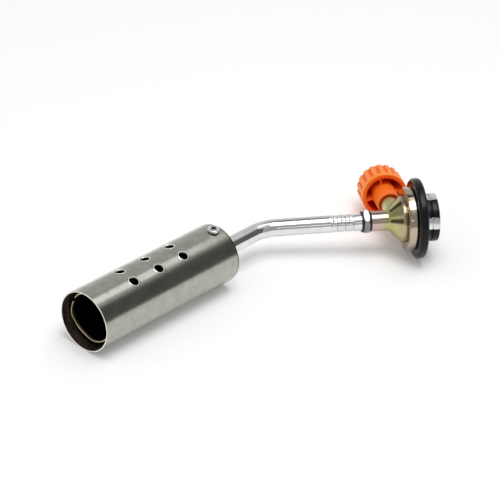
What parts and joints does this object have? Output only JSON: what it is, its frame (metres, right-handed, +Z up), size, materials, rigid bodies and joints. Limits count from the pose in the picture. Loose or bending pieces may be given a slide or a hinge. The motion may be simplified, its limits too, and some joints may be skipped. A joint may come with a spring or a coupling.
{
  "type": "gas cartridge torch",
  "caption": "Hand torch for a bayonet-mount gas cartridge: stainless burner on a bent chromed tube, with a needle valve and a ribbed knob.",
  "frame": {"origin": "under the centre of the bounding box, on the surface the torch lies on", "axes": "+Z up as it lies on a table; +X along the handle's horizontal direction, towards the cartridge mount; the burner's mouth points to -X and -Y; the knob is on the +Y side"},
  "size_m": [0.2434, 0.176, 0.0509],
  "materials": {
    "stainless": "satin, drawn lengthwise",
    "heat_tinted_steel": "straw to brown heat tint, sooty inside",
    "brass": "turned",
    "sintered_bronze": "matte, porous",
    "plated_steel": "bright zinc plate",
    "dark_steel": "oxidised, sooty",
    "nut_steel": "bright nickel plate",
    "chrome": "polished",
    "yellow_zinc": "yellow passivated zinc, faint iridescence",
    "black_rubber": "matte",
    "black_nylon": "satin moulded",
    "orange_plastic": "satin moulded"
  },
  "bodies": {
    "torch": {"gas_tube": "chrome", "tube_nipple": "brass", "front_seal_ring": "black_rubber", "lock_nut": "nut_steel", "rear_seal_ring": "black_rubber", "valve_body": "yellow_zinc", "lock_base": "black_nylon", "claw_plate": "plated_steel", "base_screw_1": "plated_steel", "base_screw_2": "plated_steel", "base_screw_3": "plated_steel", "inlet_bush": "brass", "inlet_gasket": "black_rubber", "inlet_seal": "black_rubber", "inlet_filter": "sintered_bronze", "burner_sleeve": "stainless", "flame_tube": "heat_tinted_steel", "flame_holder": "heat_tinted_steel", "burner_head": "brass", "mixing_tube": "brass", "gas_jet": "brass", "jet_holder": "brass", "jet_filter": "sintered_bronze", "burner_base": "dark_steel", "sleeve_screw": "plated_steel", "gland_nut": "brass"},
    "stem_seal": {"stem_o_ring": "black_rubber"},
    "knob": {"valve_stem": "plated_steel", "knob": "orange_plastic", "knob_screw": "plated_steel", "knob_cap": "orange_plastic"}
  },
  "joints": [
    {"name": "knob_travel", "type": "slide", "parent": "torch", "child": "stem_seal", "axis": [0.0102, 0.9879, -0.1544], "range_m": [0, 0.00115]},
    {"name": "knob_turn", "type": "hinge", "parent": "stem_seal", "child": "knob", "pos_m": [0.09738, 0.0766, 0.01694], "axis": [0.0102, 0.9879, -0.1544], "range_deg": [0, 540]}
  ],
  "couplings": [
    {"joint": "knob_travel", "follows": "knob_turn", "m_per_rad": 0.00011937}
  ]
}
